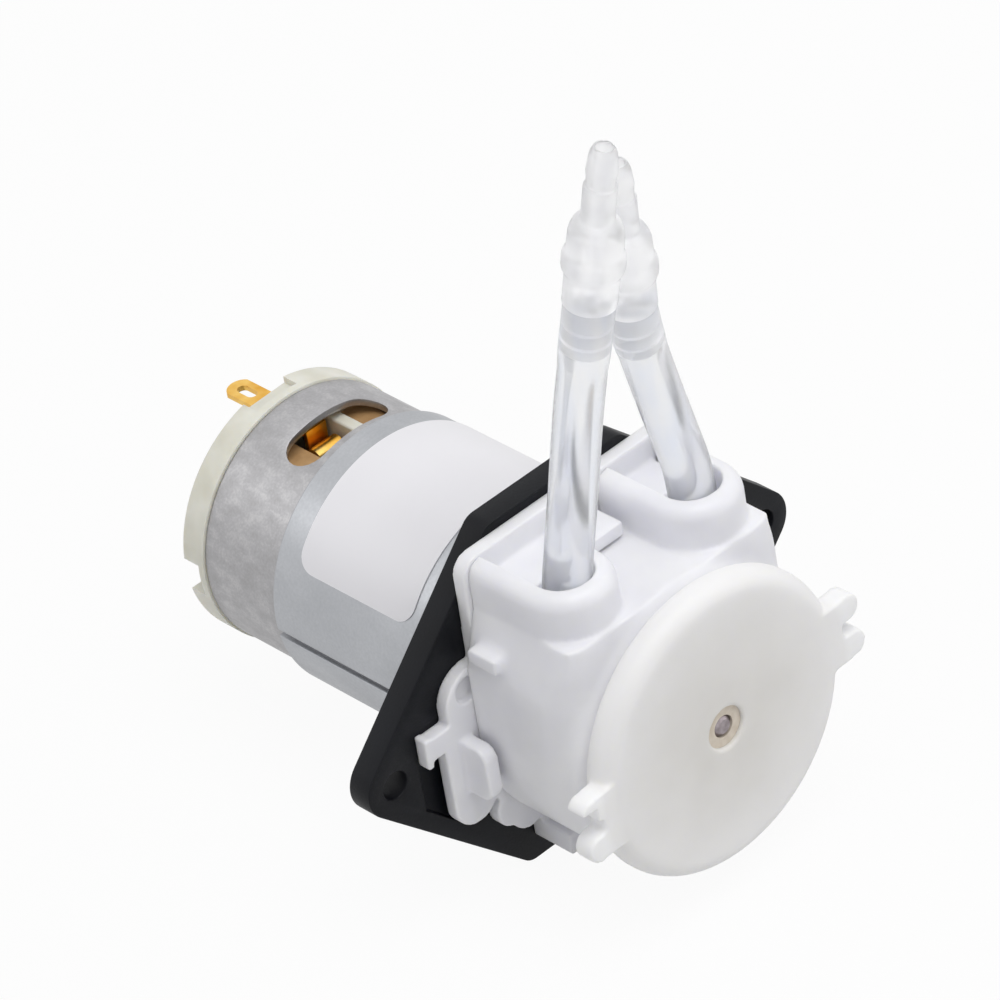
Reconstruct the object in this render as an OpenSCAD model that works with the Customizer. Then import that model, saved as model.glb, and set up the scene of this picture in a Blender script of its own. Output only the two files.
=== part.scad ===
// Small direct-drive peristaltic dosing pump: a brushed DC motor, a black
// diamond-shaped panel plate and a white roller head with two tube ports.
// The pump axis is Y, the head faces -Y, the ports point up. The origin is on
// the axis in the rear face of the plate, which is the face that meets a panel.

/* [Mounting plate] */
// Distance between the two panel screw holes
hole_spacing = 50; // [48:0.5:54]
// Diameter of the panel screw holes
hole_d = 3; // [2.6:0.1:3.4]
// Radius of the rounded tips round the screw holes
tip_r = 3.4; // [3:0.1:4]
// Height of the plate's top edge above the axis
plate_top = 20.9; // [20.3:0.1:22]
// Depth of the plate's bottom edge below the axis
plate_bottom = 19.2; // [18:0.1:21]
// Thickness of the plate
plate_t = 2.8; // [2.6:0.1:3.2]
// Depth of the round seat behind the plate that takes the motor
motor_seat = 1.6; // [1.2:0.1:1.8]

/* [Motor] */
// Outside diameter of the motor can
can_d = 27.6; // [27:0.1:28.6]
// Length of the can from its seat in the plate
can_len = 38.2; // [37.4:0.1:41]
// Wall thickness of the can
can_wall = 0.8; // [0.6:0.1:0.9]
// Thickness of the split steel ring round the can
ring_t = 0.6; // [0.4:0.1:1]
// Length of the split ring
ring_len = 24.4; // [20:0.2:24.6]
// Thickness of the moulded end cap behind the can
cap_t = 2.9; // [2.4:0.1:3.6]
// Width of the vent slots over the brushes
vent_w = 4.6; // [3.6:0.1:5]
// Diameter of the motor shaft
shaft_d = 2.3; // [2:0.1:2.5]
// Length of the terminal tabs behind the end cap
terminal_len = 5.7; // [4:0.1:7]
// Width of the terminal tabs
terminal_w = 2.8; // [2.2:0.1:3.2]
// Air gap between the armature and the magnets
air_gap = 0.5; // [0.4:0.05:0.8]

/* [Pump head] */
// Width of the pump head behind its front cover
head_d = 31; // [30.6:0.1:31.4]
// Wall of the head outside the roller track
head_wall = 1.2; // [1:0.05:1.3]
// Diameter of the front cover
cover_d = 31.6; // [31:0.1:32.6]
// Distance from the plate to the front of the cover
head_len = 19.7; // [19.5:0.1:21]
// Thickness of the front cover
cover_t = 3.3; // [2.8:0.1:3.4]
// Thickness of the head's rear flange
base_t = 1.6; // [1.4:0.1:1.8]
// Height of the two port collars above the axis
port_top = 19.8; // [19:0.1:20.2]
// Wall thickness of the port collars
port_wall = 1.9; // [1.6:0.1:2.1]

/* [Tube and rollers] */
// Outside diameter of the pump tube
tube_d = 5; // [4.6:0.1:5.1]
// Wall thickness of the pump tube
tube_wall = 1; // [0.8:0.05:1.1]
// Thickness of the two discs of the roller cage
cage_t = 1.2; // [0.9:0.05:1.5]
// Diameter of the roller pins
pin_d = 2; // [1.6:0.1:2.4]
// Length of the connectors outside the tubes
connector_len = 17.4; // [15:0.1:18]

/* [Hidden] */

// Fits
run_gap = 0.05;
seat_gap = 0.02;
clear_gap = 0.3;
eps = 0.01;

// Motor
can_r = can_d / 2;
can_in = can_r - can_wall;
can_y = -motor_seat;
can_end = can_y + can_len;
ring_y = can_y + 3;
ring_r = can_r + ring_t;
cap_y = can_end + cap_t;
cap_r = can_r + 0.2;
boss_r = 5;
boss_len = 1.8;
bearing_r = 3;
rear_boss_len = 2.2;
rear_seat_in = 1.4;
vent_y = can_end - 7.2;
vent_half = 6.05;
vent_floor = 8;
screw_x = 8;
screw_r = 1.25;
magnet_t = 3.2;
magnet_r = can_in - run_gap;
core_r = magnet_r - magnet_t - air_gap;
core_y0 = can_y + 8;
core_y1 = core_y0 + 15;
core_neck = 2.2;
shoe_t = 1.4;
coil_t = 2.4;
comm_r = 2.8;
comm_y0 = can_y + 27.4;
comm_y1 = comm_y0 + 6;
brush_w = 2.6;
brush_h = 5.4;
brush_y = can_end - 7.6;
arm_t = 0.5;
terminal_z = can_in - 1.4;
terminal_t = 0.6;
tab_in = 3.4;

// Head, with y counted negative towards the front
plate_y = -plate_t;
base_y = plate_y - base_t;
front_y = plate_y - head_len;
cover_y = front_y + cover_t;
front_wall = 1.4;
cover_turn = -3.7;
well_y = cover_y + front_wall;
head_r = head_d / 2;
track_r = head_r - head_wall;
flat_t = 2 * tube_wall;
flat_w = PI * (tube_d / 2 - tube_wall) + 2 * tube_wall;
port_x = 8.5;
port_in = tube_d / 2 + 0.5;
port_out = port_in + port_wall;
leg_z = 13;
tower_z = 12;
collar_z = tower_z + 2.2;
tab_y = base_y - 4.6;
tab_top = port_top - 2.6;
tab_h = 1.6;

// Rollers between the shaft and the squeezed tube
roller_reach = track_r - flat_t - 2 * run_gap;
roller_r = (roller_reach - shaft_d / 2 - run_gap) / 2;
orbit_r = roller_reach - roller_r;
cage_r = roller_reach - 0.4;
roller_y0 = well_y + clear_gap + cage_t + run_gap;
roller_y1 = base_y - 2 * clear_gap - cage_t - run_gap;
tube_y = roller_y0 + flat_w / 2 + clear_gap;
pillar_r = 1.1;
pillar_orbit = cage_r - pillar_r - 0.2;

// Tube route: squeezed round the track, then up each leg to the ports
tube_mid_r = track_r - tube_wall;
leg_point = [port_x, leg_z];
leg_angle = atan2(leg_point[0], leg_point[1]) + acos(tube_mid_r / norm(leg_point));
leg_len = sqrt(pow(norm(leg_point), 2) - pow(tube_mid_r, 2));

// Free tube routes, chosen by hand, each ending at its connector's collar, with
// y counted from the port's own axis
left_points = [[-port_x, 0, leg_z], [-port_x, 0, leg_z + 4], [-7.9, -0.6, 22], [-7, -1.6, 29],
               [-6, -2.7, 37], [-5, -3.8, 44], [-4.1, -4.8, 50]];
right_points = [[port_x, 0, leg_z], [port_x, 0, leg_z + 4], [8.1, -0.2, 22], [6.7, -0.5, 28],
                [5.2, -0.9, 34], [3.9, -1.2, 40], [3.3, -1.5, 44]];
left_route = [for (p = left_points) p + [0, tube_y, 0]];
right_route = [for (p = right_points) p + [0, tube_y, 0]];
left_aim = [2, -2.9, 16.6];
right_aim = [-1, -2.3, 17];
tube_sides = 12;

$fn = 72;

// A round bar along Y
module bar(d, y0, y1, fn = 72) {
  translate([0, y0, 0]) rotate([-90, 0, 0]) cylinder(d = d, h = y1 - y0, $fn = fn);
}

// A bar along Y at a place across the axis
module bar_at(x, z, d, y0, y1, fn = 72) {
  translate([x, 0, z]) bar(d, y0, y1, fn);
}

// A profile drawn in X and Z, pushed out along Y
module slab(y0, y1) {
  translate([0, y1, 0]) rotate([90, 0, 0]) linear_extrude(y1 - y0) children();
}

// A profile of radius and y, turned about the pump axis from angle a0 to a1,
// with angles counted from the top towards +X
module turned(a0 = 0, a1 = 360) {
  rotate([-90, 0, 0]) rotate([0, 0, a0 - 90]) rotate_extrude(angle = a1 - a0) children();
}

// Places children at an angle round the pump axis
module round_axis(angle) {
  rotate([0, angle, 0]) children();
}

// Two round-ended slots through a wall, one above and one below the axis
module vent_cut(half, width, y) {
  for (s = [-1, 1]) {
    translate([-(half - width / 2), y - width / 2, s > 0 ? vent_floor : -can_d])
      cube([2 * half - width, width, can_d - vent_floor]);
    for (x = [-1, 1])
      translate([x * (half - width / 2), y, s > 0 ? vent_floor : -can_d])
        cylinder(d = width, h = can_d - vent_floor);
  }
}

// Corner of a convex outline: centre of its fillet and the two points it touches
function unit(v) = v / norm(v);
function fillet_mid(p, a, b, r) =
  let (u = unit(a - p), v = unit(b - p), half = acos(u * v) / 2)
  p + unit(u + v) * r / sin(half);
function fillet_touch(p, a, b, r) =
  let (u = unit(a - p), v = unit(b - p), half = acos(u * v) / 2)
  [p + u * r / tan(half), p + v * r / tan(half)];

// A convex outline with every corner rounded by its own radius
module soft_outline(points, radii) {
  n = len(points);
  touches = [for (i = [0:n - 1])
    each fillet_touch(points[i], points[(i + n - 1) % n], points[(i + 1) % n], radii[i])];
  polygon(touches);
  for (i = [0:n - 1])
    translate(fillet_mid(points[i], points[(i + n - 1) % n], points[(i + 1) % n], radii[i]))
      circle(r = radii[i], $fn = 48);
}

// One tube swept along a route: rings of points, joined side by side
function route_dir(route, i) =
  let (n = len(route) - 1)
  unit(route[min(i + 1, n)] - route[max(i - 1, 0)]);
function ring_at(mid, dir, across, half_a, half_b, sides) =
  let (v = unit(across - dir * (across * dir)), w = cross(dir, v))
  [for (k = [0:sides - 1]) mid + v * half_a * cos(360 * k / sides) + w * half_b * sin(360 * k / sides)];
function ring_faces(rings, sides) = concat(
  [[for (k = [0:sides - 1]) k]],
  [for (i = [0:rings - 2]) for (k = [0:sides - 1])
    [i * sides + k, (i + 1) * sides + k, (i + 1) * sides + (k + 1) % sides, i * sides + (k + 1) % sides]],
  [[for (k = [sides - 1:-1:0]) (rings - 1) * sides + k]]);
module swept_tube(route) {
  points = [for (i = [0:len(route) - 1])
    each ring_at(route[i], route_dir(route, i), [1, 0, 0], tube_d / 2, tube_d / 2, tube_sides)];
  polyhedron(points = points, faces = ring_faces(len(route), tube_sides), convexity = 4);
}

// Mounting plate

module plate_outline() {
  tip = hole_spacing / 2 + tip_r * sqrt(2);
  soft_outline(
    [[tip, 0], [tip - plate_top, plate_top], [plate_top - tip, plate_top],
     [-tip, 0], [plate_bottom - tip, -plate_bottom], [tip - plate_bottom, -plate_bottom]],
    [tip_r, 2, 2, tip_r, 2, 2]);
}

// Shallow pocket beside the head, with one edge along the plate's own slant
module plate_pocket() {
  pocket_t = 0.6;
  slab(plate_y - eps, plate_y + pocket_t)
    polygon([[17, 1.2], [21.9, 1.2], [21.9, -5.2], [18.6, -8.5], [17, -8.5]]);
}

module mounting_plate() {
  color("#26272b") difference() {
    slab(plate_y, 0) plate_outline();
    bar(2 * ring_r + clear_gap, can_y, 1, 96);
    bar(2 * (boss_r + seat_gap), plate_y - 1, 1);
    for (s = [-1, 1]) {
      bar_at(s * hole_spacing / 2, 0, hole_d, plate_y - 1, 1);
      bar_at(s * screw_x, 0, 2 * screw_r + 0.1, plate_y - 1, 1);
      mirror([s < 0 ? 1 : 0, 0, 0]) plate_pocket();
    }
  }
}

// Motor

module motor_can() {
  color("#a9aaac") difference() {
    union() {
      bar(can_d, can_y, can_end);
      bar(2 * boss_r, can_y - boss_len, can_y + eps);
    }
    bar(2 * can_in, can_y + can_wall, can_end + 1);
    bar(2 * bearing_r, can_y - boss_len - 1, can_y + can_wall + 1);
    vent_cut(vent_half, vent_w, vent_y);
    for (s = [-1, 1]) bar_at(s * screw_x, 0, 2 * screw_r + 0.04, can_y - 1, can_y + can_wall + 1);
  }
}

module flux_ring() {
  color("#b4b5b7") turned(-93.2, 264.4)
    translate([can_r + seat_gap, ring_y]) square([ring_t - seat_gap, ring_len]);
}

module rating_label() {
  label_y = ring_y + 5.3;
  label_w = 16;
  skin = 0.12;
  color("#f4f4f6") turned(-62, 88) translate([ring_r + eps, label_y]) square([skin, label_w]);
}

// End cap: a rim outside the can, a spigot inside it, a bearing boss behind, and
// a nylon block beside each brush
module end_cap() {
  spigot_len = 3;
  spigot_r = can_in - seat_gap;
  spigot_wall = 1.6;
  floor_y = can_end + 1;
  block_w = 2.8;
  block_z = comm_r + 2.2;
  block_x = brush_w / 2 + 2.6;
  block_y = brush_y - 2.6;
  color("#d9d8c8") difference() {
    union() {
      difference() {
        union() {
          bar(2 * cap_r, can_end, cap_y);
          bar(2 * spigot_r, can_end - spigot_len, can_end + eps);
          bar(2 * boss_r, cap_y - eps, cap_y + rear_boss_len);
        }
        bar(2 * (spigot_r - spigot_wall), can_end - spigot_len - 1, floor_y);
      }
      for (a = [0, 180]) round_axis(a) translate([block_x, block_y, block_z])
        cube([block_w, floor_y + 0.5 - block_y, spigot_r - 2.4 - block_z]);
    }
    bar(2 * bearing_r, cap_y - rear_seat_in, cap_y + rear_boss_len - 0.6);
    bar(shaft_d + 0.6, floor_y - 1, cap_y + rear_boss_len + 1);
    // flats where the terminals leave, and the moulding notches in the rim
    for (s = [-1, 1]) {
      round_axis(s > 0 ? -2 : 178) translate([-2.7, can_end + 0.9, can_r - 0.8]) cube([5.4, cap_t, 3]);
      translate([s > 0 ? can_r - 1.8 : -can_r - 1, can_end + 0.8, -2.6]) cube([2.8, cap_t, 3.8]);
      translate([-terminal_w / 2 - seat_gap, can_end - spigot_len - 1,
                 s * terminal_z - terminal_t / 2 - seat_gap])
        cube([terminal_w + 2 * seat_gap, spigot_len + cap_t + 2, terminal_t + 2 * seat_gap]);
    }
  }
}

module magnet(side) {
  color("#3a3a3e") turned(side * 90 - 62, side * 90 + 62)
    translate([magnet_r - magnet_t, ring_y + 1]) square([magnet_t, ring_len - 2]);
}

module bearing(y0, y1, d) {
  color("#b08d57") difference() {
    bar(d, y0, y1);
    bar(shaft_d + 2 * run_gap, y0 - 1, y1 + 1);
  }
}
module front_bearing() bearing(can_y - boss_len, can_y + can_wall + 0.6, 2 * (bearing_r - seat_gap / 2));
module rear_bearing() bearing(cap_y - rear_seat_in, cap_y + rear_boss_len - 0.6, 2 * (bearing_r - seat_gap / 2));

// Brass tab with an oval eye, passing through the end cap
module terminal(side) {
  tip_y = cap_y + terminal_len;
  start_y = can_end - tab_in;
  eye_r = 0.6;
  color("#d9a441") translate([0, 0, side * terminal_z - terminal_t / 2]) difference() {
    union() {
      translate([-terminal_w / 2, start_y, 0]) cube([terminal_w, tip_y - start_y - 1, terminal_t]);
      intersection() {
        translate([0, tip_y - terminal_w / 2 - 0.2, 0]) cylinder(d = terminal_w + 0.4, h = terminal_t);
        translate([-terminal_w / 2, tip_y - 2.2, 0]) cube([terminal_w, 2.4, terminal_t]);
      }
    }
    translate([-eye_r, tip_y - 3, -1]) cube([2 * eye_r, 1.3, terminal_t + 2]);
    for (y = [tip_y - 3, tip_y - 1.7]) translate([0, y, -1]) cylinder(r = eye_r, h = terminal_t + 2);
  }
}

// Carbon brush held against the commutator
module brush(side) {
  z0 = comm_r + run_gap;
  color("#4a4a4c") mirror([0, 0, side < 0 ? 1 : 0])
    translate([-brush_w / 2, brush_y - 1.5, z0]) cube([brush_w, 3, brush_h]);
}

// Brass arm from the terminal down to the brush, with a rolled spring on it
module brush_arm(side) {
  top_z = terminal_z - terminal_t / 2;
  arm_y = can_end - tab_in;
  brush_top_z = comm_r + run_gap + brush_h;
  roll_r = 1.1;
  color("#c58f2e") mirror([0, 0, side < 0 ? 1 : 0]) union() {
    translate([-brush_w / 2, brush_y - 1.6, brush_top_z])
      cube([brush_w, arm_y - brush_y + 1.6, arm_t]);
    translate([-brush_w / 2, arm_y - arm_t, brush_top_z])
      cube([brush_w, arm_t, top_z + terminal_t - brush_top_z]);
    translate([-brush_w / 2 - 0.6, brush_y + 2.3, brush_top_z + arm_t + roll_r - 0.2])
      rotate([0, 90, 0]) cylinder(r = roll_r, h = brush_w + 0.6);
  }
}

module motor_screw(side) {
  head_h = 1.1;
  color("#8d8f92") translate([side * screw_x, 0, 0]) difference() {
    union() {
      bar(2 * screw_r, plate_y - eps, can_y + can_wall + 1.2);
      bar(4.4, plate_y - head_h, plate_y);
    }
    translate([-1.6, plate_y - head_h - 1, -0.3]) cube([3.2, 1.5, 0.6]);
    translate([-0.3, plate_y - head_h - 1, -1.6]) cube([0.6, 1.5, 3.2]);
  }
}

// Rotor

module motor_shaft() {
  nose = 0.4;
  color("#c3c5c8") union() {
    bar(shaft_d, front_y + 0.4 + nose, cap_y + rear_boss_len - 0.4);
    turned() polygon([[0, front_y + 0.4], [shaft_d / 2 - nose, front_y + 0.4],
                      [shaft_d / 2, front_y + 0.4 + nose], [shaft_d / 2, front_y + 1], [0, front_y + 1]]);
  }
}

// Stamped outline of the core: a hub and three arms, each with a curved shoe
module core_outline() {
  hub_r = 3.2;
  shoe_half = 52;
  circle(r = hub_r);
  for (a = [0, 120, 240]) rotate(-a) {
    translate([-core_neck / 2, 0]) square([core_neck, core_r - shoe_t / 2]);
    intersection() {
      difference() {
        circle(r = core_r, $fn = 96);
        circle(r = core_r - shoe_t, $fn = 96);
      }
      polygon([[0, 0], 2 * core_r * [-sin(shoe_half), cos(shoe_half)], [0, 3 * core_r],
               2 * core_r * [sin(shoe_half), cos(shoe_half)]]);
    }
  }
}

module armature_core() {
  color("#6d6f73") difference() {
    slab(core_y0, core_y1) core_outline();
    bar(shaft_d, core_y0 - 1, core_y1 + 1);
  }
}

// One coil: a copper loop round one arm of the core
module winding(i) {
  in_r = 3.6;
  out_r = core_r - shoe_t - 0.4;
  neck = core_neck + 2 * seat_gap;
  end_t = 1.6;
  color("#b2582a") round_axis((i - 1) * 120) difference() {
    translate([-neck / 2 - coil_t / 2, core_y0 - end_t, in_r])
      cube([neck + coil_t, core_y1 - core_y0 + 2 * end_t, out_r - in_r]);
    translate([-neck / 2, core_y0 - seat_gap, in_r - 1])
      cube([neck, core_y1 - core_y0 + 2 * seat_gap, out_r - in_r + 2]);
  }
}

module commutator() {
  slot = 0.4;
  color("#c07a45") difference() {
    bar(2 * comm_r, comm_y0, comm_y1);
    bar(shaft_d, comm_y0 - 1, comm_y1 + 1);
    for (a = [60, 180, 300])
      round_axis(a) translate([-slot / 2, comm_y0 - 1, comm_r - 0.7])
        cube([slot, comm_y1 - comm_y0 + 2, 2]);
  }
}

// Pump head

// Rear flange with side ears, hooks, lobes and foot, guard walls, a tab behind the
// left port and the two fingers that close the port slots behind the tubes
module base_outline() {
  root_x = 12;
  lobe_x = 16.9;
  lobe_z = -6.3;
  lobe_r = 2.7;
  hook_x = 21.2;
  hook_t = 0.7;
  foot_w = 19.2;
  foot_z = 16.3;
  soft_outline([[13.9, 20], [-13.9, 20], [-14.4, -8], [-8, -15.4], [8, -15.4], [14.4, -8]],
               [2, 2, 1, 2, 2, 1]);
  translate([-foot_w / 2, -foot_z]) square([foot_w, foot_z / 2]);
  for (s = [-1, 1]) scale([s, 1]) {
    translate([14.8, 4.8]) circle(r = 3.9, $fn = 48);
    translate([root_x, 1.3]) square([6.5, 4]);
    translate([root_x, 1.1]) square([hook_x + 0.2 - root_x, 2.6]);
    translate([hook_x, 0.4]) square([hook_t, 3.5]);
    translate([root_x, lobe_z]) square([lobe_x + lobe_r - root_x, 2.6 - lobe_z]);
    translate([lobe_x, lobe_z]) circle(r = lobe_r, $fn = 48);
    translate([12.5, -10]) circle(r = 2.2, $fn = 48);
    translate([10.8, -11.3]) circle(r = 2.3, $fn = 48);
  }
}

module finger(side) {
  finger_w = 2 * port_in - 2 * clear_gap;
  difference() {
    translate([side * port_x - finger_w / 2, tube_y, leg_z + 0.8])
      cube([finger_w, base_y - tube_y + eps, tab_top - leg_z - 0.8]);
    translate([side * port_x, tube_y, leg_z]) cylinder(r = port_in + 0.2, h = port_top);
  }
}

// Rounded tab that stands out of the flange beside the head
module guard_wall(side) {
  wall_x = 16.2;
  wall_t = 1.6;
  low_z = -4.8;
  high_z = 1.4;
  corner_r = 1.5;
  end_y = base_y - 3.4;
  root_y = base_y + base_t / 2;
  scale([side, 1, 1]) translate([wall_x, 0, 0]) rotate([90, 0, 90]) linear_extrude(wall_t) {
    translate([end_y, low_z + corner_r]) square([root_y - end_y, high_z - low_z - 2 * corner_r]);
    translate([end_y + corner_r, low_z]) square([root_y - end_y - corner_r, high_z - low_z]);
    for (z = [low_z + corner_r, high_z - corner_r])
      translate([end_y + corner_r, z]) circle(r = corner_r, $fn = 48);
  }
}

// Flat tab between the ports, over the notch in the left collar's inner wall
module port_tab(gap = 0) {
  tab_end = 2.4;
  translate([-port_x - gap, tab_y - gap, tab_top - tab_h - gap])
    cube([port_x + tab_end + 2 * gap, base_y - tab_y + eps + 2 * gap, tab_h + 10 * gap]);
}

module head_base() {
  color("#f1f1f4") difference() {
    union() {
      slab(base_y, plate_y) base_outline();
      port_tab();
      for (s = [-1, 1]) {
        finger(s);
        guard_wall(s);
      }
    }
    bar(2 * (boss_r + 0.2), base_y - 1, 1);
    for (s = [-1, 1]) {
      bar_at(s * screw_x, 0, 5, base_y - 1, 1);
      bar_at(s * 15.8, 6.4, 2.8, base_y - 1, base_y + 0.6);
    }
  }
}

// Cross-section of one port collar, measured from the port's own axis
module collar_profile(z0) {
  round_r = min(1.6, port_wall - 0.2);
  translate([port_in, z0]) square([port_wall, port_top - round_r - z0]);
  translate([port_in, z0]) square([port_wall - round_r, port_top - z0]);
  translate([port_out - round_r, port_top - round_r]) circle(r = round_r, $fn = 48);
}

// U-shaped collar, round in front and open towards the plate
module port_collar(side) {
  translate([side * port_x, tube_y, 0]) {
    rotate([0, 0, 180]) rotate_extrude(angle = 180) collar_profile(collar_z);
    for (s = [-1, 1]) mirror([s < 0 ? 1 : 0, 0, 0])
      translate([0, base_y - tube_y, 0]) rotate([90, 0, 0])
        linear_extrude(base_y - tube_y) collar_profile(collar_z);
  }
}

// Inside of one tube leg, from the track up to the port slot
module leg_cut(side) {
  low_y = tube_y - flat_w / 2 - 0.4;
  scale([side, 1, 1]) {
    slab(low_y, base_y + 1) polygon([
      [port_x - port_in, 6], [port_x - port_in, leg_z + 0.6], [port_x + port_in, leg_z + 0.6],
      [13.4, 7.2], [track_r - 1.2, 3]]);
    translate([port_x, tube_y, leg_z]) cylinder(r = port_in, h = 10);
    translate([port_x - port_in, tube_y, leg_z]) cube([2 * port_in, base_y - tube_y + 1, 10]);
  }
}

module tower_outline(side_x) {
  for (s = [-1, 1]) scale([s, 1])
    polygon([[0, 0], [side_x, 0], [side_x, 9], [port_x + port_out, tower_z + 3],
             [port_x - port_out, tower_z + 3], [port_x - port_out, tower_z + 1.4], [0, tower_z + 1.4]]);
}

// Flat-sided block that carries the ports, seen from above with round front corners
module tower_block(y0) {
  side_x = head_r - 0.05;
  corner_r = 4.5;
  corner_x = side_x - corner_r + 0.15;
  intersection() {
    slab(y0, base_y) tower_outline(side_x);
    translate([0, 0, -1]) linear_extrude(port_top) {
      translate([-side_x - 1, y0 + corner_r]) square([2 * side_x + 2, base_y + 1 - y0 - corner_r]);
      translate([-corner_x, y0 - 1]) square([2 * corner_x, base_y + 1 - y0]);
      for (s = [-1, 1]) translate([s * corner_x, y0 + corner_r]) circle(r = corner_r, $fn = 96);
    }
  }
}

// Lug on each side wall, round at its rear end, over which the flange is snapped
module side_lug(side) {
  lug_x = head_r + 0.5;
  lug_in = 2.6;
  lug_h = 1.7;
  lug_z = 10.4;
  rear_y = base_y - 1;
  front_y1 = base_y - 5;
  scale([side, 1, 1]) translate([lug_x - lug_in, 0, 0]) rotate([90, 0, 90]) linear_extrude(lug_in) {
    translate([front_y1, lug_z]) square([rear_y - lug_h / 2 - front_y1, lug_h]);
    translate([rear_y - lug_h / 2, lug_z + lug_h / 2]) circle(d = lug_h, $fn = 48);
  }
}

module head_housing() {
  bevel = 1.3;
  lap = 0.5;
  lip_r = head_r - 0.1;
  color("#f4f4f7") difference() {
    union() {
      slab(cover_y + bevel, base_y) circle(r = head_r, $fn = 96);
      tower_block(cover_y + bevel);
      turned() polygon([[0, cover_y + bevel + lap], [lip_r, cover_y + bevel + lap],
                        [lip_r, cover_y + bevel], [lip_r - bevel, cover_y], [0, cover_y]]);
      for (s = [-1, 1]) {
        port_collar(s);
        side_lug(s);
      }
    }
    bar(2 * track_r, well_y, base_y + 1);
    bar(shaft_d + 1.6, cover_y - 1, well_y + 1);
    port_tab(clear_gap);
    for (s = [-1, 1]) leg_cut(s);
  }
}

// Ear on the rim of the cover: a web with two outward lobes. The cover sits
// turned a little past level.
module cover_ear(side) {
  ear_x = cover_d / 2 + 3.1;
  web_x = cover_d / 2 + 0.6;
  inner_x = cover_d / 2 - 1.6;
  lobe_h = 2.9;
  ear_h = 7.4;
  ear_t = 2.3;
  round_axis(cover_turn) scale([side, 1, 1]) slab(front_y + 0.1, front_y + 0.1 + ear_t) {
    translate([inner_x, -ear_h / 2]) square([web_x - inner_x, ear_h]);
    for (s = [-1, 1]) scale([1, s]) {
      translate([inner_x, ear_h / 2 - lobe_h]) square([ear_x - lobe_h / 2 - inner_x, lobe_h]);
      translate([ear_x - lobe_h / 2, ear_h / 2 - lobe_h / 2]) circle(d = lobe_h, $fn = 48);
    }
  }
}

module front_cover() {
  rim_r = 1.9;
  back_r = 0.8;
  edge = cover_d / 2;
  color("#ececea") difference() {
    union() {
      turned() union() {
        translate([0, front_y]) square([edge - rim_r, cover_t]);
        translate([0, front_y + rim_r]) square([edge, cover_t - rim_r - back_r]);
        translate([0, front_y + rim_r]) square([edge - back_r, cover_t - rim_r]);
        translate([edge - rim_r, front_y + rim_r]) intersection() {
          circle(r = rim_r, $fn = 48);
          translate([-rim_r, -rim_r]) square([2 * rim_r, rim_r + eps]);
        }
        translate([edge - back_r, cover_y - back_r]) circle(r = back_r, $fn = 48);
      }
      for (s = [-1, 1]) cover_ear(s);
    }
    bar(4.5, front_y - 1, cover_y + 1);
  }
}

module front_bush() {
  color("#cfc9b4") difference() {
    bar(4.5 - 2 * seat_gap, front_y + 0.5, cover_y);
    bar(shaft_d + 2 * run_gap, front_y - 1, cover_y + 1);
  }
}

// Planet cage and rollers

module at_rollers() {
  for (a = [0, 120, 240]) round_axis(a) translate([0, 0, orbit_r]) children();
}

module cage_rear() {
  color("#dcdcd6") difference() {
    union() {
      bar(2 * cage_r, roller_y1 + run_gap, roller_y1 + run_gap + cage_t);
      for (a = [60, 180, 300]) round_axis(a) translate([0, 0, pillar_orbit])
        bar(2 * pillar_r, roller_y0 - run_gap, roller_y1 + run_gap + eps);
    }
    bar(shaft_d + 1, roller_y1 - 1, roller_y1 + cage_t + 2);
    at_rollers() bar(pin_d, roller_y1 - 1, roller_y1 + cage_t + 2);
  }
}

module cage_front() {
  color("#dcdcd6") difference() {
    bar(2 * cage_r, roller_y0 - run_gap - cage_t, roller_y0 - run_gap);
    bar(shaft_d + 1, roller_y0 - cage_t - 2, roller_y0 + 1);
    at_rollers() bar(pin_d, roller_y0 - cage_t - 2, roller_y0 + 1);
  }
}

module roller_pin(i) {
  color("#c9cbce") round_axis((i - 1) * 120) translate([0, 0, orbit_r])
    bar(pin_d, roller_y0 - run_gap - cage_t, roller_y1 + run_gap + cage_t);
}

module roller(i) {
  color("#e6e4da") round_axis((i - 1) * 120) translate([0, 0, orbit_r]) difference() {
    bar(2 * roller_r, roller_y0, roller_y1);
    bar(pin_d + 2 * run_gap, roller_y0 - 1, roller_y1 + 1);
  }
}

// Pump tube

// Squeezed flat all round the track, where the rollers run
module pump_tube() {
  flat_r = tube_wall - eps;
  color("#dfe3ea") turned(leg_angle, 360 - leg_angle) {
    translate([tube_mid_r - flat_r, tube_y - flat_w / 2 + flat_r])
      square([2 * flat_r, flat_w - 2 * flat_r]);
    for (s = [-1, 1])
      translate([tube_mid_r, tube_y + s * (flat_w / 2 - flat_r)]) circle(r = flat_r, $fn = 32);
  }
}

// Opens from the flat strip to the round tube on its way up to the port
module tube_leg(side) {
  steps = 6;
  foot = [tube_mid_r * sin(leg_angle), tube_mid_r * cos(leg_angle)];
  along = (leg_point - foot) / leg_len;
  rings = [for (i = [0:steps])
    let (t = i / steps, grow = pow(t, 1.5), lean = t * t, p = foot + along * leg_len * t,
         dir = unit([along[0] * (1 - lean), 0, along[1] * (1 - lean) + lean]))
    ring_at([p[0], tube_y, p[1]], dir, [1, 0, 0],
            tube_wall + (tube_d / 2 - tube_wall) * grow,
            flat_w / 2 + (tube_d / 2 - flat_w / 2) * t, tube_sides)];
  points = [for (r = rings) each r];
  color("#dfe3ea") mirror([side < 0 ? 1 : 0, 0, 0])
    polyhedron(points = points, faces = ring_faces(steps + 1, tube_sides), convexity = 4);
}

module left_tube() color("#dfe3ea") swept_tube(left_route);
module right_tube() color("#dfe3ea") swept_tube(right_route);

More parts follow.
